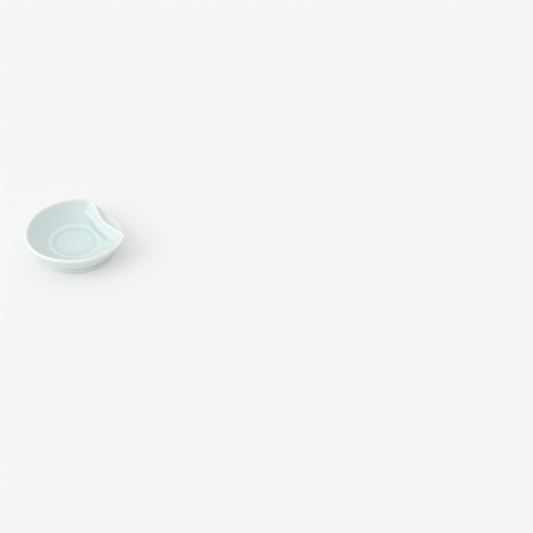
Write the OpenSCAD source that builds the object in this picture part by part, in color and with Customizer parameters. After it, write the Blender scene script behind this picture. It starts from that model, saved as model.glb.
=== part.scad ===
// Chopstick rest in glazed porcelain: a small round dish on a foot ring, with a ringed well in its floor.
// One side of the rim is folded in. The fold gives a shallow V crest to lay a pair of thin tips on, a flat
// inside it that falls towards the well, and a level shoulder outside it.
//
// The glazed surface is a stack of closed contours, from the middle of the well, over the lip, down to
// the foot joint. The clay body is that surface set back by the glaze, so the coats fit it face to face.
// +X points out through the middle of the fold, +Z is up, and z = 0 is the table under the foot.

/* [Rim] */
// Diameter over the glazed rim, where it is plain and round
rim_d = 50.8; // [48:0.2:58]
// Height of the rim above the table
rim_h = 12.5; // [11.4:0.1:15]
// Thickness of the rounded lip, glaze included
lip_t = 1.8; // [1.4:0.1:2.2]
// Slope at which the bowl meets the lip, in degrees
lip_lean = 46; // [38:1:60]
// How far the rim is drawn out at the two corners of the fold
corner_pull = 1.5; // [0.8:0.1:2]
// How far the rim is drawn out opposite the fold
back_pull = 1.05; // [0:0.05:1.5]

/* [Folded rest edge] */
// Half of the angle that the fold takes out of the round rim
fold_angle = 40.5; // [38:0.5:45]
// How far the middle of the crest is pushed in from a straight line
crest_hollow = 2.2; // [1.4:0.1:2.6]
// How far the middle of the crest dips below the rim
crest_dip = 2; // [1:0.1:2.8]
// Slope of the flat inside the crest, in degrees
flat_slope = 38; // [30:1:42]
// Gap in plan between the ring round the well and the toe of the flat
toe_gap = 0.1; // [0.05:0.05:0.5]
// Run in plan of the steep face between the toe and the flat
toe_run = 0.8; // [0.6:0.1:1.2]
// How far the shoulder outside the fold lies below the crest
shoulder_drop = 0.9; // [0.6:0.1:2]
// How far the shoulder's outer edge is rounded down
shoulder_round = 0.6; // [0.3:0.1:1]

/* [Well] */
// Outer diameter of the raised ring round the well
ring_d = 27.2; // [25:0.2:27.8]
// Width of the level top of the ring
ring_w = 0.9; // [0.6:0.1:1.3]
// Height of the ring above the table
ring_h = 5; // [4.6:0.1:5.4]
// Depth of the step inside the ring
well_depth = 0.65; // [0.4:0.05:0.9]
// Run in plan of that step
step_run = 1.9; // [1.4:0.1:2.3]
// How far the well's floor dips from its edge to its middle
well_dish = 0.35; // [0.1:0.05:0.5]
// Thickness of the clay under the well
floor_t = 1.6; // [1.3:0.1:1.8]

/* [Foot] */
// Outer diameter of the glazed foot
foot_d = 41.4; // [38:0.2:43]
// Height of the foot, up to its joint with the body
foot_h = 2.8; // [2.4:0.1:3.2]
// Width of the foot ring, in the clay
foot_w = 2.9; // [2.4:0.1:3.4]
// Rounding on both sides of the bare bearing face
foot_round = 0.4; // [0.2:0.05:0.6]
// Depth of the groove round the joint between the foot and the body
groove_depth = 0.25; // [0.15:0.05:0.4]
// Height of the rounded turn from that groove into the wall
groove_rise = 1; // [0.6:0.1:1.2]
// How far the hollow under the dish rises above the foot joint, beside the foot
hollow_rise = 0.7; // [0.4:0.1:1]

/* [Glaze] */
// Thickness of the glaze on the open walls
glaze_t = 0.35; // [0.25:0.05:0.45]
// Height above the table at which the glaze stops on the foot
glaze_stop = 0.6; // [0.5:0.05:1]

/* [Hidden] */
$fn = 96;

CLAY = [0.93, 0.93, 0.90];
GLAZE = [0.78, 0.88, 0.86];

// Columns of the surface along the fold, and in all the way round
fold_columns = 24;
columns = 72;
// Blend of neighbouring columns that rounds the two corners, in columns
corner_blend = 0.6;

// Bow of the bowl below a straight cone, fullness of the wall, and steepness of the crest and the shoulder
bowl_bow_share = 0.5;
wall_power_share = 0.9;
crest_power_share = 1.25;
crest_soft_share = 0.12;
shoulder_power_share = 4.5;
shoulder_edge_share = 3;
// Angle over which the pull at a corner dies away, and where the pull opposite the fold begins and is full
corner_span = 50;
corner_power_share = 1.5;
back_start = 125;
back_full = 175;

rim_r = rim_d / 2;
corner_r = rim_r + corner_pull;
ring_r = ring_d / 2;
ring_in_r = ring_r - ring_w;
floor_r = ring_in_r - step_run;
foot_r = foot_d / 2;
well_edge_z = ring_h - well_depth;
well_z = well_edge_z - well_dish;

// The lip is an arc of radius lip_r. It starts along the bowl's slope, lip_in inside the rim, and ends
// upright at the rim.
lip_r = lip_t / 2;
lip_z = rim_h - lip_r;
lip_in = lip_r * (1 + sin(lip_lean));
lip_in_z = lip_z + lip_r * cos(lip_lean);

// Corners, on the +Y side, of the crest's outer edge, its inner edge, the flat's lower edge and its toe
out_x = corner_r * cos(fold_angle);
out_y = corner_r * sin(fold_angle);
bowl_corner_r = corner_r - lip_in;
in_x = out_x - lip_in;
in_y = sqrt(pow(bowl_corner_r, 2) - pow(in_x, 2));
toe_x = ring_r + toe_gap;
flat_x = toe_x + toe_run;
flat_z = lip_in_z - (in_x - flat_x) * tan(flat_slope);
flat_r = bowl_r(flat_z);
flat_y = sqrt(pow(flat_r, 2) - pow(flat_x, 2));
toe_r = flat_r - toe_run;
toe_y = sqrt(pow(toe_r, 2) - pow(toe_x, 2));

// Height of the round bowl at a share s of the way from the ring to the lip
function bowl_z(s) = ring_h + (lip_in_z - ring_h) * (s + bowl_bow_share * s * (s - 1));

// Radius at which the bowl, at a corner of the fold, reaches height z
function bowl_r(z) =
    let (k = bowl_bow_share, c = (z - ring_h) / (lip_in_z - ring_h))
    ring_r + (bowl_corner_r - ring_r) * (sqrt(pow(1 - k, 2) + 4 * k * c) - 1 + k) / (2 * k);

// Lifts a point of the plan onto the bowl whose lip starts at radius r_in
function on_bowl(p, r_in) =
    let (r = norm([p[0], p[1]])) [p[0], p[1], bowl_z((r - ring_r) / (r_in - ring_r))];

// Radius of the outer wall at height z, below a rim of radius r
function wall_r(z, r) =
    foot_r + (r - foot_r) * pow(max(0, (z - foot_h) / (lip_z - foot_h)), wall_power_share);

// Radius of the rim at an angle from the middle of the fold: drawn out at its corners and opposite it
function rim_at(a) =
    rim_r
    + corner_pull * (1 - pow(ease((a - fold_angle) / corner_span), corner_power_share))
    + back_pull * ease((a - back_start) / (back_full - back_start));

function ease(x) = let (u = min(1, max(0, x))) u * u * (3 - 2 * u);
function mix(a, b, s) = a + (b - a) * s;
function polar(r, a, z) = [r * cos(a), r * sin(a), z];

// The crest's shallow V: 1 in the middle of the fold, 0 at its corners, with a soft tip
function vee(s) =
    let (e = crest_soft_share, top = sqrt(1 + e * e))
    pow(max(0, (top - sqrt(s * s + e * e)) / (top - e)), crest_power_share);

// Points of the glazed surface on the fold, where s runs from -1 to 1 between the corners
function crest_in(s) = [in_x - crest_hollow * vee(s), in_y * s, lip_in_z - crest_dip * vee(s)];
function crest_out(s) = [out_x - crest_hollow * vee(s), out_y * s, lip_z - crest_dip * vee(s)];
function fold_flat(s) =
    [flat_x, flat_y * s, crest_in(s)[2] - (crest_in(s)[0] - flat_x) * tan(flat_slope)];
function fold_toe(s) = on_bowl([toe_x, toe_y * s], bowl_corner_r);
function shoulder_z(s) = lip_z - shoulder_drop - crest_dip * (1 - s * s);
function fold_shoulder(s) =
    let (z = shoulder_z(s) - shoulder_round) polar(wall_r(z, corner_r), fold_angle * s, z);

// Shares of the way over the well's floor and up its step, from the ring to the toe, up the steep face,
// over the flat to the lip, down the face outside the lip, and down the wall
floor_shares = [0.5, 1];
step_shares = [0.5];
toe_shares = [0.4, 0.8];
face_shares = [0.25, 0.78];
flat_shares = [0.2, 0.6, 1];
fall_shares = [0.22, 0.48, 0.76, 0.93, 1];
wall_shares = [0.4, 0.8];
// Angles along the lip's arc, from inside the top at 90 to the outer edge at 0
lip_turns = [90 + lip_lean / 2, 90, 60, 30, 0];

// One column of the fold, from the ring over the crest to the wall above the foot
function fold_column(s) =
    let (a = atan2(toe_y * s, toe_x), ring = polar(ring_r, a, ring_h), toe = fold_toe(s))
    let (flat = fold_flat(s), inner = crest_in(s), outer = crest_out(s), shoulder = fold_shoulder(s))
    concat(
        floor_column(a),
        [for (q = toe_shares) on_bowl(mix(ring, toe, q), bowl_corner_r)],
        [for (q = face_shares) mix(toe, flat, q)],
        [for (q = flat_shares) mix(flat, inner, q)],
        [for (t = lip_turns) on_lip(inner, outer, t)],
        [for (q = fall_shares) fall(outer, shoulder, q)],
        wall_column(fold_angle * s, corner_r, shoulder[2])
    );

// The outer face of the fold: steep under the crest, level over the shoulder, and rounded down at its edge
function fall(from, to, q) =
    let (level = to[2] + shoulder_round)
    let (z = mix(level, from[2], pow(1 - q, shoulder_power_share)))
    [mix(from[0], to[0], q), mix(from[1], to[1], q), z - shoulder_round * pow(q, shoulder_edge_share)];

// A point of the lip's arc at angle t, above the line in plan from its inner to its outer edge
function on_lip(inner, outer, t) =
    let (share = (cos(t) + sin(lip_lean)) / (1 + sin(lip_lean)))
    [mix(inner[0], outer[0], share), mix(inner[1], outer[1], share), outer[2] + lip_r * sin(t)];

// One column of the round dish, at a share w of the way round from corner to corner
function round_column(w) =
    let (span = function (a) mix(a, 360 - a, w), turn = span(fold_angle))
    let (off = min(turn, 360 - turn), rim = rim_at(off), r_in = rim - lip_in)
    let (a_toe = span(atan2(toe_y, toe_x)), a_flat = span(atan2(flat_y, flat_x)))
    let (a_in = span(atan2(in_y, in_x)))
    let (ring = polar(ring_r, a_toe, 0), toe = polar(toe_r, a_toe, 0), flat = polar(flat_r, a_flat, 0))
    let (inner = polar(r_in, a_in, 0), outer = polar(rim, turn, lip_z))
    let (low = shoulder_z(1) - shoulder_round - crest_dip * ease((off - fold_angle) / fold_angle))
    concat(
        floor_column(a_toe),
        [for (q = toe_shares) on_bowl(mix(ring, toe, q), r_in)],
        [for (q = face_shares) on_bowl(mix(toe, flat, q), r_in)],
        [for (q = flat_shares) on_bowl(mix(flat, inner, q), r_in)],
        [for (t = lip_turns) on_lip(inner, outer, t)],
        [for (q = fall_shares) let (z = mix(lip_z, low, q)) polar(wall_r(z, rim), turn, z)],
        wall_column(turn, rim, low)
    );

// The well's dished floor, the step round it and the level ring, at angle a
function floor_column(a) = concat(
    [for (q = floor_shares) polar(floor_r * q, a, mix(well_z, well_edge_z, q * q))],
    [for (q = step_shares) polar(mix(floor_r, ring_in_r, q), a, mix(well_edge_z, ring_h, q))],
    [polar(ring_in_r, a, ring_h), polar(ring_r, a, ring_h)]
);

// The wall from height z down to the groove round the foot joint, at angle a
function wall_column(a, rim, z) = concat(
    [for (q = wall_shares) let (h = mix(z, foot_h + groove_rise, q)) polar(wall_r(h, rim), a, h)],
    [polar(foot_r - groove_depth / 4, a, foot_h + groove_rise / 2), polar(foot_r - groove_depth, a, foot_h)]
);

// A column at any place t, counted in columns from the -Y corner of the fold
function column(t) =
    let (u = (t + columns) % columns)
    u <= fold_columns ? fold_column(2 * u / fold_columns - 1)
                      : round_column((u - fold_columns) / (columns - fold_columns));

// The glazed surface: rows[i][j] is row i from the well's floor outwards, at column j
blended = [for (j = [0:columns - 1])
    (column(j - corner_blend) + 2 * column(j) + column(j + corner_blend)) / 4];
row_count = len(blended[0]);
rows = [for (i = [0:row_count - 1]) [for (c = blended) c[i]]];
// Row along the top of the lip: the lip's second row, after those of the floor, toe, face and flat
ring_rows = len(floor_column(0));
lip_row = ring_rows + len(toe_shares) + len(face_shares) + len(flat_shares) + 1;

// Glaze on each row as a share of glaze_t: pooled in the well and under the fold, thin on every edge
coat_shares = [
    1.2, 1.3, 1, 0.75, 0.75, 1.1, 1.15, 1.15, 0.9, 0.85, 0.95, 0.8, 0.55, 0.45,
    0.45, 0.5, 0.6, 0.8, 1, 1.1, 0.9, 0.8, 1, 1, 1, 1
];

// Outward normal of the glazed surface at row i, column j
function normal(i, j) =
    let (next = rows[min(i + 1, row_count - 1)][j], last = rows[max(i - 1, 0)][j])
    let (left = rows[i][(j + 1) % columns], right = rows[i][(j + columns - 1) % columns])
    let (n = cross(next - last, left - right)) n / norm(n);

// The clay under the glaze. Its last row stays on the plane of the foot joint.
joint_r = foot_r - glaze_t;
set_in_share = glaze_t / (foot_r - groove_depth);
clay = [for (i = [0:row_count - 1]) [for (j = [0:columns - 1])
    i < row_count - 1
        ? rows[i][j] - normal(i, j) * glaze_t * coat_shares[i]
        : mix(rows[i][j], [0, 0, foot_h], set_in_share)
]];

// Underside of the clay, from the foot joint to the middle. Each point is a share of the way in, a share of
// the way to the middle's height, and a share of the rise beside the foot.
foot_in_r = joint_r - foot_w;
base_z = well_z - glaze_t - floor_t;
under_shares = [[0, 0, 0], [0.12, 0, 1], [0.35, 0.2, 0], [0.75, 0.76, 0], [1, 1, 0]];
hollow_profile = [for (s = under_shares)
    [mix(foot_in_r, floor_r, s[0]), mix(foot_h, base_z, s[1]) + hollow_rise * s[2]]];

// The same profile, set off into the hollow by the base glaze, with the foot's inner wall below it
under_profile = concat(
    [[foot_in_r - glaze_t, glaze_stop]],
    [for (i = [0:len(hollow_profile) - 1])
        hollow_profile[i] - [i < 2 ? glaze_t : 0, glaze_t]]
);

// Circles at the angles of the clay's last row, one for each point of a profile
function circles(profile) =
    [for (p = profile) [for (c = clay[row_count - 1]) polar(p[0], atan2(c[1], c[0]), p[1])]];

// Two triangles for each cell between ring a and ring b, which hold n points each
function band(a, b, n) = [for (j = [0:n - 1]) let (k = (j + 1) % n)
    each [[a * n + j, a * n + k, b * n + k], [a * n + j, b * n + k, b * n + j]]];

// A closed skin from one middle point, through all the rings, to another middle point
module closed_skin(first, rings, last) {
    n = len(rings[0]);
    m = len(rings);
    polyhedron(
        points = concat([for (r = rings) each r], [first, last]),
        faces = concat(
            [for (j = [0:n - 1]) [n * m, (j + 1) % n, j]],
            [for (i = [0:m - 2]) each band(i, i + 1, n)],
            [for (j = [0:n - 1]) [n * m + 1, (m - 1) * n + j, (m - 1) * n + (j + 1) % n]]
        )
    );
}

// A closed band whose last ring joins its first
module looped_skin(rings) {
    n = len(rings[0]);
    m = len(rings);
    polyhedron(
        points = [for (r = rings) each r],
        faces = [for (i = [0:m - 1]) each band(i, (i + 1) % m, n)]
    );
}

function part_of(list, from, to) = [for (i = [from:to]) list[i]];
function reversed(list) = [for (i = [len(list) - 1:-1:0]) list[i]];

// Pressed porcelain: bowl, fold, lip and outer wall in one piece, hollowed underneath
module porcelain_body() {
    color(CLAY)
        closed_skin(
            [0, 0, well_z - glaze_t * coat_shares[0]],
            concat(clay, circles(hollow_profile)),
            [0, 0, base_z]
        );
}

// Foot ring, turned true and luted under the body. Its bearing face is left bare.
module foot_ring() {
    color(CLAY)
        rotate_extrude()
            polygon([
                [foot_in_r, foot_round],
                [foot_in_r + foot_round, 0],
                [joint_r - foot_round, 0],
                [joint_r, foot_round],
                [joint_r, foot_h - groove_depth / 2],
                [joint_r - groove_depth, foot_h],
                [foot_in_r, foot_h]
            ]);
}

// Glaze poured inside: it fills the well and the fold's toe, and thins out to the middle of the lip
module inside_glaze() {
    color(GLAZE)
        closed_skin(
            [0, 0, well_z],
            concat(part_of(rows, 0, lip_row), reversed(part_of(clay, 0, lip_row))),
            [0, 0, well_z - glaze_t * coat_shares[0]]
        );
}

// Glaze outside, from the middle of the lip down to the groove above the foot
module outside_glaze() {
    color(GLAZE)
        looped_skin(concat(
            part_of(rows, lip_row, row_count - 1),
            reversed(part_of(clay, lip_row, row_count - 1))
        ));
}

// Band of glaze round the foot, stopping short of the bearing face
module foot_glaze() {
    color(GLAZE)
        rotate_extrude()
            polygon([
                [joint_r, glaze_stop],
                [foot_r - glaze_t / 2, glaze_stop],
                [foot_r, glaze_stop + glaze_t],
                [foot_r, foot_h - groove_depth / 2],
                [foot_r - groove_depth, foot_h],
                [joint_r - groove_depth, foot_h],
                [joint_r, foot_h - groove_depth / 2]
            ]);
}

// Glaze in the hollow under the dish and on the foot's inner wall
module base_glaze() {
    color(GLAZE)
        closed_skin(
            [0, 0, base_z],
            concat(
                reversed(circles(hollow_profile)),
                circles([[foot_in_r, glaze_stop]]),
                circles(under_profile)
            ),
            [0, 0, base_z - glaze_t]
        );
}

porcelain_body();
foot_ring();
inside_glaze();
outside_glaze();
foot_glaze();
base_glaze();
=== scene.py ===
"""A folded-rim chopstick rest in pale celadon porcelain, alone on a white table, in soft light from the left.

+X points out through the middle of the fold, +Z is up, and z = 0 is the table under the foot. Lengths are
in metres. Every surface is a grid of points: rows follow the profile, and columns go round the dish.
"""

import math

import bpy
import numpy as np
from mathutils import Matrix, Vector


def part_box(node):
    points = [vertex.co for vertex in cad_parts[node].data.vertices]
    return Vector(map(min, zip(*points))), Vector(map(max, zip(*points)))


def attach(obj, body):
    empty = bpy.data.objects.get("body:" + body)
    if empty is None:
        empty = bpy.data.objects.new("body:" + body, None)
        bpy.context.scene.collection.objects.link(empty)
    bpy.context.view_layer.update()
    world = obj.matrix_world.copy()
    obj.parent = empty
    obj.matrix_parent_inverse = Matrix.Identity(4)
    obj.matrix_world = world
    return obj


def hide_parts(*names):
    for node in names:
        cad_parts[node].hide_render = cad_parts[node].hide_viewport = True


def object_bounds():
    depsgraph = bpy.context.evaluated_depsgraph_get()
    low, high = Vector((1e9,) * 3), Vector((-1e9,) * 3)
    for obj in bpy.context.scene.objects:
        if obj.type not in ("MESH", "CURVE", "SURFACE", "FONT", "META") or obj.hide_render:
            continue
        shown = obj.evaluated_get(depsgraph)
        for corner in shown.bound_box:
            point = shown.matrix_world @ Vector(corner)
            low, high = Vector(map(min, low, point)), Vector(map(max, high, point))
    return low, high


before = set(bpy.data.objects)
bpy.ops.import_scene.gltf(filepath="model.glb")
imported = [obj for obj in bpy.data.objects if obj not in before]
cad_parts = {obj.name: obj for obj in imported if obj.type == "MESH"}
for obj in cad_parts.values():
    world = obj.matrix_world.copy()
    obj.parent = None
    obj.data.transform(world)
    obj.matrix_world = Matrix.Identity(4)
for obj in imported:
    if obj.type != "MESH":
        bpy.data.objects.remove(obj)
cad_low, cad_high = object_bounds()

# Clay body
# White porcelain clay, pressed over a mould in one piece: bowl, folded rim, lip and outer wall.
# Glaze covers all of it, so its surface is the glazed one, set back by a coat that is thin on every edge
# and thick in every hollow.
mm = 0.001

# Rim and lip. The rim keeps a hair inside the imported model's, so that the whole dish stays in its box.
inside_facets_share = 0.9996
rim_r = cad_high.y * inside_facets_share
rim_h = cad_high.z
lip_t = 1.8 * mm
lip_lean = math.radians(46)

# The rim is drawn out by corner_pull at the fold's two corners, and by back_pull opposite the fold
corner_pull = 1.5 * mm
back_pull = 1.05 * mm
corner_span = math.radians(50)
corner_power_share = 1.5
back_start = math.radians(125)
back_full = math.radians(175)

# Fold: how far round its corners stand, its V crest, the flat inside it, the toe, and the shoulder outside
fold_turn = math.radians(40.5)
crest_hollow = 2.2 * mm
crest_dip = 2 * mm
crest_power_share = 1.25
crest_soft_share = 0.12
flat_slope = math.radians(38)
toe_gap = 0.1 * mm
toe_run = 0.8 * mm
shoulder_drop = 0.9 * mm
shoulder_power_share = 4.5
shoulder_round = 0.6 * mm
shoulder_edge_share = 3

# Floor: the raised ring, the well inside it, the step between them, and the bow of the bowl outside it
ring_r = 13.6 * mm
ring_w = 0.9 * mm
ring_h = 5 * mm
well_depth = 0.65 * mm
well_dish = 0.35 * mm
step_run = 1.9 * mm
floor_t = 1.6 * mm
bowl_bow_share = 0.5

# Outer wall and foot, with the groove round their joint and the hollow under the dish
wall_power_share = 0.9
foot_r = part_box("foot_glaze")[1].x
foot_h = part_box("foot_ring")[1].z
foot_w = 2.9 * mm
joint_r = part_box("foot_ring")[1].x
groove_depth = 0.25 * mm
groove_rise = 1 * mm
hollow_rise = 0.7 * mm
glaze_t = foot_r - joint_r

# Sizes that follow from those: the crest's inner and outer edge, the flat's lower edge and its toe
corner_r = rim_r + corner_pull
lip_r = lip_t / 2
lip_z = rim_h - lip_r
well_z = ring_h - well_depth - well_dish
ring_in_r = ring_r - ring_w
floor_r = ring_in_r - step_run
out_x = corner_r * math.cos(fold_turn)
out_y = corner_r * math.sin(fold_turn)
lip_in = lip_r * (1 + math.sin(lip_lean))
lip_top_z = lip_z + lip_r * math.cos(lip_lean)
in_x = out_x - lip_in
in_y = math.sqrt((corner_r - lip_in) ** 2 - in_x**2)
toe_x = ring_r + toe_gap
flat_x = toe_x + toe_run
flat_z = lip_top_z - (in_x - flat_x) * math.tan(flat_slope)


def mix(a, b, share):
    """The place at a share of the way from a to b."""
    return a + (b - a) * share


def ease(x):
    """A smooth step: 0 up to x = 0, 1 from x = 1, and 3 x^2 - 2 x^3 between."""
    x = np.clip(x, 0, 1)
    return x * x * (3 - 2 * x)


def point(x, y, z):
    """Points from their three coordinates, the last axis of the array."""
    return np.stack(np.broadcast_arrays(x, y, z), -1).astype(float)


def polar(r, turn, z):
    """Points at radius r, at an angle turn from +X, and at height z."""
    return point(r * np.cos(turn), r * np.sin(turn), z)


def bowl_z(share):
    """Height of the bowl: the straight cone from the ring to the lip, less a bow of share (1 - share)."""
    return ring_h + (lip_top_z - ring_h) * (share + bowl_bow_share * share * (share - 1))


def bowl_r(z):
    """Radius at which the bowl reaches height z beside the fold: bowl_z solved for its share."""
    k = bowl_bow_share
    c = (z - ring_h) / (lip_top_z - ring_h)
    return ring_r + (corner_r - lip_in - ring_r) * (math.sqrt((1 - k) ** 2 + 4 * k * c) - 1 + k) / (2 * k)


def wall_r(z, rim):
    """Radius of the outer wall: from the foot to the rim, as a power of the height above the foot."""
    return foot_r + (rim - foot_r) * np.clip((z - foot_h) / (lip_z - foot_h), 0, None) ** wall_power_share


def on_bowl(a, b, share, lip_in_r):
    """Points a share of the way from a to b in plan, at the height of a bowl whose lip starts at lip_in_r."""
    place = mix(a, b, share)
    r = np.hypot(place[:, 0], place[:, 1])
    return point(place[:, 0], place[:, 1], bowl_z((r - ring_r) / (lip_in_r - ring_r)))


def rim_at(turn):
    """Radius of the rim: drawn out beside the fold and opposite it, and plain between."""
    corner = 1 - ease((turn - fold_turn) / corner_span) ** corner_power_share
    back = ease((turn - back_start) / (back_full - back_start))
    return rim_r + corner_pull * corner + back_pull * back


flat_r = bowl_r(flat_z)
flat_y = math.sqrt(flat_r**2 - flat_x**2)
toe_r = flat_r - toe_run
toe_y = math.sqrt(toe_r**2 - toe_x**2)

# Shares of the way along each stretch of the profile. They crowd where the surface turns sharply.
floor_shares = (0.35, 0.7, 0.92, 1)
step_shares = (0.3, 0.7)
land_shares = (0, 0.5, 1)
toe_shares = (0.3, 0.65, 0.9)
face_shares = (0.1, 0.4, 0.75, 0.93)
flat_shares = (0.07, 0.3, 0.6, 0.85, 1)
lip_points = 10
lip_turns = np.linspace(math.pi / 2 + lip_lean, 0, lip_points)[1:]
fall_shares = (0.07, 0.16, 0.27, 0.42, 0.6, 0.8, 0.93, 1)
wall_shares = (0.25, 0.5, 0.75, 0.92)


def floor_rows(turn):
    """The well's slightly dished floor, the step round it, and the level ring on top of the step."""
    edge_z = well_z + well_dish
    floor = [polar(floor_r * q, turn, mix(well_z, edge_z, q * q)) for q in floor_shares]
    step = [polar(mix(floor_r, ring_in_r, q), turn, mix(edge_z, ring_h, q)) for q in step_shares]
    land = [polar(mix(ring_in_r, ring_r, q), turn, ring_h) for q in land_shares]
    return floor + step + land


def lip_rows(inner, outer):
    """The rounded lip: an arc of radius lip_r, from along the slope inside it to upright outside it."""
    shares = [(math.cos(t) + math.sin(lip_lean)) / (1 + math.sin(lip_lean)) for t in lip_turns]
    across = [mix(inner, outer, share) for share in shares]
    return [point(p[:, 0], p[:, 1], outer[:, 2] + lip_r * math.sin(t)) for p, t in zip(across, lip_turns)]


def wall_rows(turn, rim, top_z):
    """The wall from top_z down, and the groove round the foot joint."""
    heights = [mix(top_z, foot_h + groove_rise, q) for q in wall_shares]
    wall = [polar(wall_r(z, rim), turn, z) for z in heights]
    turn_in = polar(foot_r - groove_depth / 4, turn, foot_h + groove_rise / 2)
    return wall + [turn_in, polar(foot_r - groove_depth, turn, foot_h)]


def crest_v(s):
    """The crest's shallow V: 1 in the middle of the fold and 0 at its corners, with a soft tip."""
    top = math.sqrt(1 + crest_soft_share**2)
    share = (top - np.sqrt(s**2 + crest_soft_share**2)) / (top - crest_soft_share)
    return np.clip(share, 0, None) ** crest_power_share


def fold_rows(s):
    """Rows over the fold, at places s from -1 to 1 between its corners: floor, toe, steep face, flat, crest,
    and outside it a face that falls steeply, flattens out onto the shoulder, and is rounded down."""
    v = crest_v(s)
    crest_z = lip_z - crest_dip * v
    inner = point(in_x - crest_hollow * v, in_y * s, crest_z + lip_top_z - lip_z)
    outer = point(out_x - crest_hollow * v, out_y * s, crest_z)
    flat = point(flat_x, flat_y * s, inner[:, 2] - (inner[:, 0] - flat_x) * math.tan(flat_slope))
    turn = np.arctan2(toe_y * s, toe_x)
    ring = polar(ring_r, turn, ring_h)
    toe = on_bowl(ring, point(toe_x, toe_y * s, 0), 1, corner_r - lip_in)
    level_z = lip_z - shoulder_drop - crest_dip * (1 - s**2)
    low_z = level_z - shoulder_round
    edge = polar(wall_r(low_z, corner_r), fold_turn * s, low_z)
    fall_z = [
        mix(level_z, crest_z, (1 - q) ** shoulder_power_share) - shoulder_round * q**shoulder_edge_share
        for q in fall_shares
    ]
    fall = [point(*mix(outer, edge, q)[:, :2].T, z) for q, z in zip(fall_shares, fall_z)]
    return np.stack(
        floor_rows(turn)
        + [on_bowl(ring, toe, q, corner_r - lip_in) for q in toe_shares]
        + [mix(toe, flat, q) for q in face_shares]
        + [mix(flat, inner, q) for q in flat_shares]
        + lip_rows(inner, outer)
        + fall
        + wall_rows(fold_turn * s, corner_r, low_z)
    )


def round_rows(w):
    """Rows of the round dish, at shares w of the way round from one corner of the fold to the other.
    Each stretch starts at its own corner of the fold, so that the columns meet the fold's."""

    def span(turn):
        return mix(turn, 2 * math.pi - turn, w)

    turn = span(fold_turn)
    off = np.minimum(turn, 2 * math.pi - turn)
    rim = rim_at(off)
    r_in = rim - lip_in
    toe_turn = span(math.atan2(toe_y, toe_x))
    ring = polar(ring_r, toe_turn, ring_h)
    toe = polar(toe_r, toe_turn, ring_h)
    flat = polar(flat_r, span(math.atan2(flat_y, flat_x)), ring_h)
    inner = polar(r_in, span(math.atan2(in_y, in_x)), lip_z)
    outer = polar(rim, turn, lip_z)
    low_z = lip_z - shoulder_drop - shoulder_round - crest_dip * ease((off - fold_turn) / fold_turn)
    heights = [mix(lip_z, low_z, q) for q in fall_shares]
    return np.stack(
        floor_rows(toe_turn)
        + [on_bowl(ring, toe, q, r_in) for q in toe_shares]
        + [on_bowl(toe, flat, q, r_in) for q in face_shares]
        + [on_bowl(flat, inner, q, r_in) for q in flat_shares]
        + lip_rows(inner, outer)
        + [polar(wall_r(z, rim), turn, z) for z in heights]
        + wall_rows(turn, rim, low_z)
    )


# The fold takes this share of all columns, and its corners are rounded over this share of them on each side
columns = 432
fold_columns_share = 1 / 3
corner_round_share = 0.012
corner_samples = 9


def dish_rows(share):
    """Rows at shares of all columns, counted from the -Y corner of the fold and wrapped at 1."""
    share = share % 1
    over_fold = fold_rows(np.clip(2 * share / fold_columns_share - 1, -1, 1))
    round_dish = round_rows(np.clip((share - fold_columns_share) / (1 - fold_columns_share), 0, 1))
    return np.where((share <= fold_columns_share)[None, :, None], over_fold, round_dish)


def rounded_rows():
    """All rows, with each column a cosine-weighted mean of its neighbours, which rounds the corners."""
    places = np.arange(columns) / columns
    offsets = np.linspace(-1, 1, corner_samples + 2)[1:-1]
    weights = 1 + np.cos(math.pi * offsets)
    parts = [dish_rows(places + o * corner_round_share) * w for o, w in zip(offsets, weights)]
    return sum(parts) / weights.sum()


def smooth_down(rows, cuts):
    """A centripetal Catmull-Rom curve down every column, through all rows, with so many cuts to a gap."""
    ends = np.concatenate([[2 * rows[0] - rows[1]], rows, [2 * rows[-1] - rows[-2]]])
    gap = np.sqrt(np.linalg.norm(np.diff(ends, axis=0), axis=-1, keepdims=True))
    a, b, c, d = ends[:-3], ends[1:-2], ends[2:-1], ends[3:]
    before, here, after = gap[:-2], gap[1:-1], gap[2:]
    start = here * ((b - a) / before - (c - a) / (before + here)) + (c - b)
    stop = here * ((d - c) / after - (d - b) / (here + after)) + (c - b)
    q = (np.arange(cuts) / cuts)[None, :, None, None]
    b, c, start, stop = (v[:, None] for v in (b, c, start, stop))
    curve = (
        (2 * q**3 - 3 * q**2 + 1) * b
        + (q**3 - 2 * q**2 + q) * start
        + (3 * q**2 - 2 * q**3) * c
        + (q**3 - q**2) * stop
    )
    return np.concatenate([curve.reshape(-1, *rows.shape[1:]), rows[-1:]])


def normals_of(grid):
    """Unit normals: the step to the next row crossed with the step to the next column."""
    down = np.gradient(grid, axis=0)
    along = np.roll(grid, -1, 1) - np.roll(grid, 1, 1)
    n = np.cross(down, along)
    return n / np.linalg.norm(n, axis=-1, keepdims=True)


def bend_of(grid, normals):
    """Curvature down each column plus curvature along each row, in 1/m: above 0 in a hollow and below 0 on
    an edge. Each is the turn of the normal against the step, over the step squared."""
    bend = 0
    for step, turn in (
        (np.gradient(grid, axis=0), np.gradient(normals, axis=0)),
        (np.roll(grid, -1, 1) - np.roll(grid, 1, 1), np.roll(normals, -1, 1) - np.roll(normals, 1, 1)),
    ):
        bend = bend - (step * turn).sum(-1) / (step * step).sum(-1)
    return bend


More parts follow.
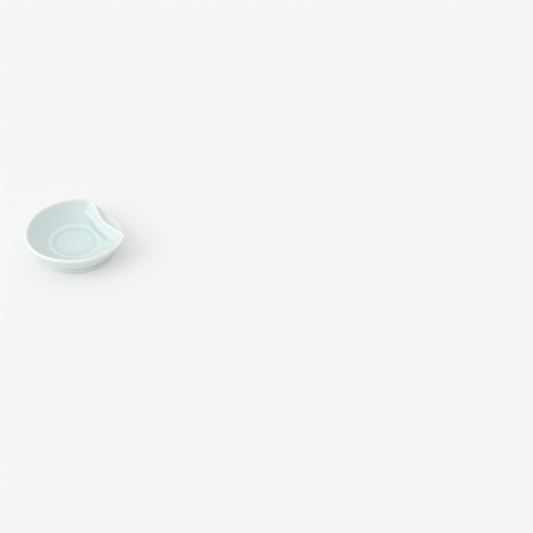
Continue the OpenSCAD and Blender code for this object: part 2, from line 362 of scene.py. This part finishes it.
def spread_down(values, grid, reach):
    """Mean of the values within reach up and down the profile: a difference of their running integral."""
    along = np.linalg.norm(np.diff(grid, axis=0), axis=-1).mean(1)
    place = np.concatenate([[0], np.cumsum(along)])
    pieces = (values[1:] + values[:-1]) / 2 * along[:, None]
    total = np.concatenate([np.zeros((1, values.shape[1])), np.cumsum(pieces, axis=0)])

    def total_at(x):
        i = np.clip(np.searchsorted(place, x) - 1, 0, len(place) - 2)
        share = ((x - place[i]) / (place[i + 1] - place[i]))[:, None]
        return mix(total[i], total[i + 1], share)

    start, stop = np.clip(place - reach, 0, place[-1]), np.clip(place + reach, 0, place[-1])
    return (total_at(stop) - total_at(start)) / (stop - start)[:, None]


cuts = 3
glazed = smooth_down(rounded_rows(), cuts)
glazed_normals = normals_of(glazed)

# The coat's thickness as a share of glaze_t. Glaze creeps off an edge, with a long thin tail below it, and
# gathers in a hollow, so the coat follows the surface's curvature. It also runs down.
edge_reach = 0.6 * mm
tail_reach = 1.7 * mm
pool_reach = 0.9 * mm
creep = 0.85 * mm
tail = 0.4 * mm
gather = 1.7 * mm
settle = 0.2
thinnest_share = 0.15
thickest_share = 1.9
sharpest_bend = 2 / mm
blur_rounds = 4
bend = np.clip(bend_of(glazed, glazed_normals), -sharpest_bend, sharpest_bend)
for _ in range(blur_rounds):
    bend = (np.roll(bend, 1, 1) + 2 * bend + np.roll(bend, -1, 1)) / 4
edges = np.minimum(spread_down(spread_down(bend, glazed, edge_reach), glazed, edge_reach), 0)
tails = spread_down(edges, glazed, tail_reach)
pools = np.maximum(spread_down(spread_down(bend, glazed, pool_reach), glazed, pool_reach), 0)
lowness = 1 - (glazed[..., 2] - foot_h) / (rim_h - foot_h)
depth = 1 + creep * edges + tail * tails + gather * pools + settle * (lowness - 0.5)

# Besides, it pools against the step round the well, is wiped off the ring, and runs off the shoulder
well_pool_share = 0.25
well_pool_w = 1.6 * mm
ring_thin_share = 0.35
ring_thin_w = 0.7 * mm
ring_near = 0.3 * mm
radius = np.hypot(glazed[..., 0], glazed[..., 1])
in_well = radius < floor_r + ring_near
on_ring = (glazed[..., 2] > well_z) & (glazed[..., 2] < ring_h + ring_near)
well_pool = np.exp(-(((radius - floor_r) / well_pool_w) ** 2)) * in_well
ring_thin = np.exp(-(((radius - ring_r + ring_w / 2) / ring_thin_w) ** 2)) * on_ring
depth += well_pool_share * well_pool - ring_thin_share * ring_thin

# The shoulder's rows are counted from the lip's last one, and its columns from the fold's two corners
shoulder_thin_share = 0.6
shoulder_rows = np.array([1, 4, 8, 10])
shoulder_row_shares = (0, 1, 1, 0)
shoulder_end_share = 0.15
row_place = np.arange(len(glazed)) / cuts
rows_inside = floor_shares + step_shares + land_shares + toe_shares + face_shares + flat_shares
lip_end = len(rows_inside) + len(lip_turns)
over_rows = np.interp(row_place, lip_end + shoulder_rows, shoulder_row_shares)
from_middle = np.abs(2 * np.arange(columns) / columns / fold_columns_share - 1)
over_fold = ease((1 - from_middle) / shoulder_end_share)
depth -= shoulder_thin_share * over_rows[:, None] * over_fold

# In the groove round the foot, which the last rows make, the coat was wiped to an even one
groove_rows = 2
groove_most_share = 1.05
in_groove = row_place[:, None] > row_place[-1] - groove_rows
depth = np.where(in_groove, np.minimum(depth, groove_most_share), depth)
depth = np.clip(depth, thinnest_share, thickest_share)
clay = glazed - glazed_normals * (glaze_t * depth)[..., None]
clay[-1] = polar(joint_r - groove_depth, np.arctan2(glazed[-1, :, 1], glazed[-1, :, 0]), foot_h)

foot_in_r = joint_r - foot_w
base_z = well_z - glaze_t - floor_t

# For each point of the hollow's profile, its shares of the way across from the foot's inner wall to floor_r
# and up from foot_h to base_z, and its share of hollow_rise
under_shares = ((0, 0, 0), (0.12, 0, 1), (0.35, 0.2, 0), (0.75, 0.76, 0), (1, 1, 0))


def circles(profile):
    """One ring of points for each (radius, height), at the angles of the foot joint's columns."""
    turn = np.arctan2(glazed[-1, :, 1], glazed[-1, :, 0])
    return np.stack([polar(r, turn, z) for r, z in profile])


crisp_angle = math.radians(50)


def skin(name, grid, first=None, last=None, **marks):
    """A closed mesh from rows of points: columns join round, and the ends join each other or close on a
    point. Each of marks is an array of numbers by row and column, kept as a point attribute of that name."""
    rows, cols = grid.shape[:2]
    verts = grid.reshape(-1, 3)
    row = np.arange(rows if first is None else rows - 1)[:, None] * cols
    below = (row + cols) % (rows * cols)
    here = np.arange(cols)[None]
    after = (here + 1) % cols
    faces = np.stack([row + here, below + here, below + after, row + after], -1).reshape(-1, 4).tolist()
    if first is not None:
        verts = np.concatenate([verts, [first, last]])
        ring, next_ring = np.arange(cols), (np.arange(cols) + 1) % cols
        tip, end = rows * cols, (rows - 1) * cols
        faces += np.stack([np.full(cols, tip), ring, next_ring], -1).tolist()
        faces += np.stack([np.full(cols, tip + 1), end + next_ring, end + ring], -1).tolist()
    mesh = bpy.data.meshes.new(name)
    mesh.from_pydata(verts, [], faces)
    mesh.polygons.foreach_set("use_smooth", np.ones(len(faces), bool))
    mesh.set_sharp_from_angle(angle=crisp_angle)
    for mark, numbers in marks.items():
        numbers = numbers.ravel()
        if first is not None:
            numbers = np.concatenate([numbers, [numbers[0], numbers[-1]]])
        mesh.attributes.new(mark, "FLOAT", "POINT").data.foreach_set("value", numbers.astype(np.float32))
    piece = bpy.data.objects.new(name, mesh)
    bpy.context.scene.collection.objects.link(piece)
    return piece


hollow = [
    (mix(foot_in_r, floor_r, across), mix(foot_h, base_z, up) + hollow_rise * rise)
    for across, up, rise in under_shares
]
hollow_rows = smooth_down(circles(hollow), cuts)
body_rows = np.concatenate([clay[:-1:2], clay[-1:], hollow_rows])
clay_body = skin("clay_body", body_rows, (0, 0, clay[0, :, 2].mean()), (0, 0, base_z))


def shared_nodes(name, inputs, outputs):
    """An empty node group with number inputs (name: default) and outputs (name: socket type)."""
    group = bpy.data.node_groups.new(name, "ShaderNodeTree")
    for socket, value in inputs.items():
        made = group.interface.new_socket(socket, in_out="INPUT", socket_type="NodeSocketFloat")
        made.default_value = value
    for socket, kind in outputs.items():
        group.interface.new_socket(socket, in_out="OUTPUT", socket_type=kind)
    return group, group.nodes.new("NodeGroupInput").outputs, group.nodes.new("NodeGroupOutput").inputs


def node(tree, kind, options=None, **inputs):
    """A new node with its options set and its inputs set to values or linked. An input goes by its name, with
    _ for a space, or by _ and its number."""
    made = tree.nodes.new(kind)
    for option, value in (options or {}).items():
        setattr(made, option, value)
    for label, value in inputs.items():
        place = int(label[1:]) if label[1:].isdigit() else label.replace("_", " ")
        socket = made.inputs[place]
        if isinstance(value, bpy.types.NodeSocket):
            tree.links.new(value, socket)
        else:
            socket.default_value = value
    return made


def math_of(tree, operation, a, b, c=None):
    """A Math node on two or three numbers or sockets, as its result."""
    values = {"_0": a, "_1": b} if c is None else {"_0": a, "_1": b, "_2": c}
    return node(tree, "ShaderNodeMath", {"operation": operation}, **values).outputs[0]


# Specks: sparse round pits and grains, as a mask that is 1 in the middle of each
specks, speck_in, speck_out = shared_nodes(
    "kiln_specks", {"Cell": 2.5 * mm, "Size": 0.14 * mm, "Kept": 0.2}, {"Mask": "NodeSocketFloat"}
)
object_place = specks.nodes.new("ShaderNodeTexCoord").outputs["Object"]
cells = node(
    specks,
    "ShaderNodeTexVoronoi",
    {"feature": "F1", "voronoi_dimensions": "3D"},
    Vector=object_place,
    Scale=math_of(specks, "DIVIDE", 1, speck_in["Cell"]),
)
reach = math_of(specks, "MULTIPLY", cells.outputs["Distance"], speck_in["Cell"])
bump = node(
    specks,
    "ShaderNodeMapRange",
    {"interpolation_type": "SMOOTHSTEP"},
    Value=reach,
    From_Min=0,
    From_Max=speck_in["Size"],
    To_Min=1,
    To_Max=0,
)
pick = node(specks, "ShaderNodeSeparateColor", Color=cells.outputs["Color"])
kept = math_of(specks, "LESS_THAN", pick.outputs[0], speck_in["Kept"])
specks.links.new(math_of(specks, "MULTIPLY", bump.outputs[0], kept), speck_out["Mask"])


def new_material(name):
    """A material with an empty Principled shader, ready for its nodes."""
    material = bpy.data.materials.new(name)
    material.use_nodes = True
    tree = material.node_tree
    shader = tree.nodes["Principled BSDF"]
    return material, tree, shader


def noise_at(tree, place, size, detail=2.0, roughness=0.5):
    """Noise with lumps of about that size, from 0 to 1."""
    made = node(tree, "ShaderNodeTexNoise", Vector=place, Scale=1 / size, Detail=detail, Roughness=roughness)
    return made.outputs["Fac"]


def mixed(tree, share, a, b, blend="MIX"):
    """Two colours mixed by a share, which is a number or a socket, as the resulting colour. Inputs 6 and 7
    and output 2 are the Mix node's colours."""
    options = {"data_type": "RGBA", "blend_type": blend}
    return node(tree, "ShaderNodeMix", options, Factor=share, _6=a, _7=b).outputs[2]


# Bare fired clay: matt and fine-grained, a little warm, with tool marks in rings round the dish's axis
bare_clay, tree, shader = new_material("bare_porcelain")
clay_pale = (0.885, 0.878, 0.845, 1)
clay_warm = (0.80, 0.775, 0.72, 1)
clay_speck = (0.42, 0.35, 0.28, 1)
clay_speck_share = 0.35
patch_size = 5 * mm
patch_share = 0.8
grain_size = 0.12 * mm
grain_share = 0.2
tool_mark_size = 2.2 * mm
tool_mark_share = 0.6
clay_relief = 0.02 * mm
clay_smoothest = 0.62
clay_rougher = 0.15
place = tree.nodes.new("ShaderNodeTexCoord").outputs["Object"]
patches = noise_at(tree, place, patch_size, detail=3)
grain = noise_at(tree, place, grain_size, detail=2)
tone = math_of(tree, "MULTIPLY_ADD", patches, patch_share, math_of(tree, "MULTIPLY", grain, grain_share))
ramp = node(tree, "ShaderNodeMapRange", Value=tone, From_Min=0.35, From_Max=0.7, To_Min=0, To_Max=1)
tint = mixed(tree, ramp.outputs[0], clay_pale, clay_warm)
speck = node(tree, "ShaderNodeGroup", {"node_tree": specks}, Cell=1.1 * mm, Size=0.09 * mm, Kept=0.25)
spotted = mixed(tree, math_of(tree, "MULTIPLY", speck.outputs["Mask"], clay_speck_share), tint, clay_speck)
tree.links.new(spotted, shader.inputs["Base Color"])
tool_marks = node(
    tree,
    "ShaderNodeTexWave",
    {"wave_type": "RINGS", "rings_direction": "Z"},
    Vector=place,
    Scale=1 / tool_mark_size,
    Distortion=1.2,
    Detail=2,
)
height = math_of(tree, "MULTIPLY_ADD", tool_marks.outputs["Fac"], tool_mark_share, grain)
relief = node(tree, "ShaderNodeBump", Height=height, Distance=clay_relief, Strength=1)
tree.links.new(relief.outputs[0], shader.inputs["Normal"])
roughness = math_of(tree, "MULTIPLY_ADD", grain, clay_rougher, clay_smoothest)
tree.links.new(roughness, shader.inputs["Roughness"])

clay_body.data.materials.append(bare_clay)
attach(clay_body, "root")
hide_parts("porcelain_body")

# Foot ring
# The same clay, turned true and luted under the body with slip. Its bearing face is wiped bare, with
# rounded edges and the fine rings of the turning tool.
foot_round = 0.4 * mm
round_points = 7
round_turns = np.linspace(0, math.pi / 2, round_points)


def arc(r, z, radius, start):
    """Points of a quarter circle round (r, z), from the angle start onwards, clockwise."""
    return [(r + radius * math.cos(start - t), z + radius * math.sin(start - t)) for t in round_turns]


foot_profile = (
    [(joint_r - groove_depth, foot_h), (joint_r, foot_h - groove_depth / 2)]
    + arc(joint_r - foot_round, foot_round, foot_round, 0)
    + arc(foot_in_r + foot_round, foot_round, foot_round, -math.pi / 2)
    + [(foot_in_r, foot_h)]
)
clay_foot = skin("clay_foot", circles(foot_profile))
clay_foot.data.materials.append(bare_clay)
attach(clay_foot, "root")
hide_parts("foot_ring")

# Glaze coat
# Pale blue-green celadon glaze over the whole dish, inside and out, as one coat that has melted together
# over the lip. The clay shows white through it on the lip, the ring and the folds' edges.
coat_clay_rows = clay[::cuts][::-1]
coat_rows = np.concatenate([glazed, coat_clay_rows])
coat_depth = np.concatenate([depth, depth[::cuts][::-1]])
outer_middle = coat_rows[0].mean(0)
inner_middle = coat_rows[-1].mean(0)
glaze_coat = skin("glaze_coat", coat_rows[:-1], outer_middle, inner_middle, depth=coat_depth[:-1])

# Light passes the glaze twice, so the clay's colour is multiplied by the glaze's own once for each depth.
# Where the coat stops on the foot, a warm grey flush of the clay shows through it, darkened further as
# painted shade from the table and the overhanging bowl.
under_glaze = np.array([0.935, 0.926, 0.908])
one_depth = np.array([0.774, 0.888, 0.891])
flush_tone = (0.97, 0.92, 0.92, 1)
glaze_speck = (0.30, 0.34, 0.30, 1)
glaze_speck_share = 0.45
speck_pit_share = 0.8
ramp_reach = 3.0
ramp_stops = 7
cloud_size = 7 * mm
cloud_share = 0.3
mottle_size = 0.9 * mm
mottle_share = 0.1
least_cloudy_share = 0.81
flush_cloud_offset = 0.5
peel_size = 1.3 * mm
peel_relief = 0.035 * mm
glaze_smoothest = 0.17
glaze_rougher = 0.06
glaze_ior = 1.5

celadon, tree, shader = new_material("celadon_glaze")
place = tree.nodes.new("ShaderNodeTexCoord").outputs["Object"]
coat_mark = node(tree, "ShaderNodeAttribute", {"attribute_name": "depth"}).outputs["Fac"]
clouds = noise_at(tree, place, cloud_size, detail=3, roughness=0.55)
mottle = noise_at(tree, place, mottle_size, detail=2)
cloudy = math_of(tree, "MULTIPLY_ADD", clouds, cloud_share, least_cloudy_share)
mottled = math_of(tree, "MULTIPLY_ADD", mottle, mottle_share, cloudy)
glaze_depth = math_of(tree, "MULTIPLY", coat_mark, mottled)
tint = node(tree, "ShaderNodeValToRGB", Fac=math_of(tree, "DIVIDE", glaze_depth, ramp_reach))
stops = tint.color_ramp.elements
while len(stops) < ramp_stops:
    stops.new(0.5)
for number, stop in enumerate(stops):
    stop.position = number / (ramp_stops - 1)
    stop.color = (*under_glaze * one_depth ** (ramp_reach * stop.position), 1)
# Painted shade on the foot: the flush mark multiplies a darker warm grey into the glaze, strongest towards
# the table
flush_mark = node(tree, "ShaderNodeAttribute", {"attribute_name": "flush"}).outputs["Fac"]
flush = math_of(tree, "MULTIPLY", flush_mark, math_of(tree, "ADD", clouds, flush_cloud_offset))
flushed = mixed(tree, flush, tint.outputs[0], flush_tone, "MULTIPLY")
speck = node(tree, "ShaderNodeGroup", {"node_tree": specks}, Cell=3.2 * mm, Size=0.13 * mm, Kept=0.12)
speck_mask = speck.outputs["Mask"]
spotted = mixed(tree, math_of(tree, "MULTIPLY", speck_mask, glaze_speck_share), flushed, glaze_speck)
tree.links.new(spotted, shader.inputs["Base Color"])
peel = noise_at(tree, place, peel_size, detail=1)
height = math_of(tree, "SUBTRACT", peel, math_of(tree, "MULTIPLY", speck_mask, speck_pit_share))
relief = node(tree, "ShaderNodeBump", Height=height, Distance=peel_relief, Strength=1)
tree.links.new(relief.outputs[0], shader.inputs["Normal"])
roughness = math_of(tree, "MULTIPLY_ADD", mottle, glaze_rougher, glaze_smoothest)
tree.links.new(roughness, shader.inputs["Roughness"])
shader.inputs["IOR"].default_value = glaze_ior

glaze_coat.data.materials.append(celadon)
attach(glaze_coat, "root")
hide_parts("inside_glaze", "outside_glaze")

# Foot band
# The glaze round the foot. It stops short of the bearing face in a rounded, slightly wavy bead, where it
# was sponged off before firing.
glaze_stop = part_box("foot_glaze")[0].z
bead_r = 0.2 * mm
wave_h = 0.07 * mm
wave_counts = (5, 9, 14)

# How deep the band's coat is, and how far the flush and its painted shade show, in its rows from the groove's
# side downwards
groove_side_row = 2
band_coat_shares = (1.3, 1.2, 0.6)
band_flush_shares = (0, 0.35, 0.9, 1)
groove_side_in_share = 0.55
groove_side_down_share = 0.3


def wavy(rows, low, high):
    """Rows with the heights near low raised by a sum of three slow sine waves round the dish."""
    turn = np.arctan2(rows[..., 1], rows[..., 0])
    wave = sum(np.sin(n * turn + n * n) for n in wave_counts) / len(wave_counts)
    share = np.clip((high - rows[..., 2]) / (high - low), 0, 1)
    rows[..., 2] += wave_h * (1 + wave) * share
    return rows


def by_row(grid, start, shares):
    """Numbers for every point of a grid: one share a row from row start on, and held before and after."""
    numbers = np.interp(np.arange(len(grid)), start + np.arange(len(shares)), shares)
    return np.repeat(numbers[:, None], grid.shape[1], 1)


groove_side = (foot_r - groove_depth * groove_side_in_share, foot_h - groove_depth * groove_side_down_share)
band_profile = (
    [(joint_r - groove_depth, foot_h), (foot_r - groove_depth, foot_h), groove_side]
    + [(foot_r, foot_h - groove_depth / 2 - bead_r), (foot_r, glaze_stop + glaze_t)]
    + arc(foot_r - bead_r, glaze_stop + bead_r, bead_r, 0)
    + [(joint_r, glaze_stop), (joint_r, foot_h - groove_depth / 2)]
)
band_rows = wavy(circles(band_profile), glaze_stop, foot_h - groove_depth)
band_depth = by_row(band_rows, groove_side_row, band_coat_shares)
band_flush = by_row(band_rows, groove_side_row, band_flush_shares)
foot_band = skin("foot_band", band_rows, depth=band_depth, flush=band_flush)
foot_band.data.materials.append(celadon)
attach(foot_band, "root")
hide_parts("foot_glaze")

# Base coat
# The glaze poured into the hollow under the dish and over the foot's inner wall. It ends there in the same
# wavy bead.
stop_r = foot_in_r - glaze_t

# Points of the hollow less than this share across are on the foot's side, so the coat also stands in there
wall_side_share = 0.3

# The bead is rounded from this row of the inner wall on, and its coat is this share of the full one
bead_row = 2
bead_coat_share = 0.7
hollow_coat = [
    (r - glaze_t * (across < wall_side_share), z - glaze_t)
    for (r, z), (across, _, _) in zip(hollow, under_shares)
]
inner_wall = [(foot_in_r, glaze_stop), (stop_r + bead_r, glaze_stop)] + [
    (stop_r + bead_r - bead_r * math.sin(t), glaze_stop + bead_r - bead_r * math.cos(t))
    for t in round_turns[1:]
]
inner_wall_rows = wavy(circles(inner_wall), glaze_stop, foot_h - glaze_t)
base_rows = np.concatenate([hollow_rows[::-1], inner_wall_rows, smooth_down(circles(hollow_coat), cuts)])
base_row = np.arange(len(base_rows)) - len(hollow_rows)
in_bead = ((base_row >= bead_row) & (base_row < len(inner_wall)))[:, None] * np.ones(columns)
base_depth = mix(1, bead_coat_share, in_bead)
top_point = (0, 0, base_z)
under_point = (0, 0, base_z - glaze_t)
# The bead under the dish takes the flush as well, with its painted shade
base_coat = skin("base_coat", base_rows, top_point, under_point, depth=base_depth, flush=in_bead)
base_coat.data.materials.append(celadon)
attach(base_coat, "root")
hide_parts("base_glaze")

# Table
# A plain white table top with a faint sheen, which catches the soft shadow. It runs far past the view on
# every side.
table_r = 4.0
table_sides = 64
table_white = (0.935, 0.935, 0.933, 1)
pale = 0.9
shadow_softness = 0.2
table_rough = 0.7
table_gloss = 0.2


def seen_or_mirrored(tree):
    """1 for what the camera sees, straight or in a gloss or through glass, and 0 for the light on things."""
    seen = tree.nodes.new("ShaderNodeLightPath").outputs
    in_view = math_of(tree, "MAXIMUM", seen["Is Camera Ray"], seen["Is Glossy Ray"])
    return math_of(tree, "MAXIMUM", in_view, seen["Is Transmission Ray"])


table_turns = np.linspace(0, 2 * math.pi, table_sides, endpoint=False)
table_mesh = bpy.data.meshes.new("table")
table_mesh.from_pydata(polar(table_r, table_turns, 0), [], [list(range(len(table_turns)))])
table = bpy.data.objects.new("table", table_mesh)
bpy.context.scene.collection.objects.link(table)
table_top, tree, shader = new_material("white_table")
shader.inputs["Base Color"].default_value = table_white
shader.inputs["Roughness"].default_value = table_rough
shader.inputs["Specular IOR Level"].default_value = table_gloss
in_view = seen_or_mirrored(tree)
even_white = node(tree, "ShaderNodeEmission", Color=(pale, pale, pale, 1), Strength=1)
softened = math_of(tree, "MULTIPLY", in_view, shadow_softness)
both = node(tree, "ShaderNodeMixShader", _0=softened, _1=shader.outputs[0], _2=even_white.outputs[0])
tree.links.new(both.outputs[0], tree.nodes["Material Output"].inputs["Surface"])
table_mesh.materials.append(table_top)

# Light
# A soft sky, brighter on the left of the view, and one wide lamp from there. The background that the camera
# and the glaze see is as pale as the table.
picture_turn = math.radians(-33)
plain_white = (1, 1, 1, 1)
sky_even = 0.61
sky_up = 0.33
sky_left = 0.08
sky_near = -0.11
lamp_level = 0.92
lamp_spread = math.radians(50)
lamp_rise = math.radians(32)
lamp_side = math.radians(202) + picture_turn
world = bpy.data.worlds.new("studio")
world.use_nodes = True
bpy.context.scene.world = world
sky = world.node_tree
for spare in list(sky.nodes):
    sky.nodes.remove(spare)
in_view = seen_or_mirrored(sky)
sky_place = sky.nodes.new("ShaderNodeTexCoord").outputs["Generated"]

# The level in each direction is sky_even plus its dot product with one slope, made of up, left and near
slope = polar(sky_left, math.pi + picture_turn, sky_up) + polar(sky_near, picture_turn - math.pi / 2, 0)
across = node(sky, "ShaderNodeVectorMath", {"operation": "DOT_PRODUCT"}, _0=sky_place, _1=tuple(slope))
strength = math_of(sky, "MAXIMUM", math_of(sky, "ADD", across.outputs["Value"], sky_even), 0)
light_sky = node(sky, "ShaderNodeBackground", Color=plain_white, Strength=strength)
pale_sky = node(sky, "ShaderNodeBackground", Color=plain_white, Strength=pale)
both = node(sky, "ShaderNodeMixShader", _0=in_view, _1=light_sky.outputs[0], _2=pale_sky.outputs[0])
node(sky, "ShaderNodeOutputWorld", Surface=both.outputs[0])

lamp = bpy.data.objects.new("soft_lamp", bpy.data.lights.new("soft_lamp", "SUN"))
lamp.data.energy = lamp_level
lamp.data.angle = lamp_spread
lamp_from = Vector(polar(math.cos(lamp_rise), lamp_side, math.sin(lamp_rise)))
lamp.rotation_mode = "QUATERNION"
lamp.rotation_quaternion = lamp_from.to_track_quat("Z", "Y")
bpy.context.scene.collection.objects.link(lamp)

# Camera
# The photograph's place: a long lens from over a metre away, which looks down on the table. The dish lies to
# the left of the view's middle.
camera_far = 1236.7 * mm
camera_rise = math.radians(40.47)
focal_px = 2394.3
image_px = 533
view_right = 99.47 * mm
view_near = 14.55 * mm
clip_range = 100
camera = bpy.data.objects.new("camera", bpy.data.cameras.new("camera"))
camera.data.lens = camera.data.sensor_width * focal_px / image_px
right = polar(1, picture_turn, 0)
away = polar(1, picture_turn + math.pi / 2, 0)
target = Vector(right * view_right - away * view_near)
back = Vector(-away * math.cos(camera_rise) + np.array([0, 0, math.sin(camera_rise)]))
camera.location = target + back * camera_far
camera.rotation_mode = "QUATERNION"
camera.rotation_quaternion = back.to_track_quat("Z", "Y")
camera.data.clip_start = camera_far / clip_range
camera.data.clip_end = camera_far * clip_range
bpy.context.scene.collection.objects.link(camera)
bpy.context.scene.camera = camera
bpy.context.scene.view_settings.view_transform = "Standard"
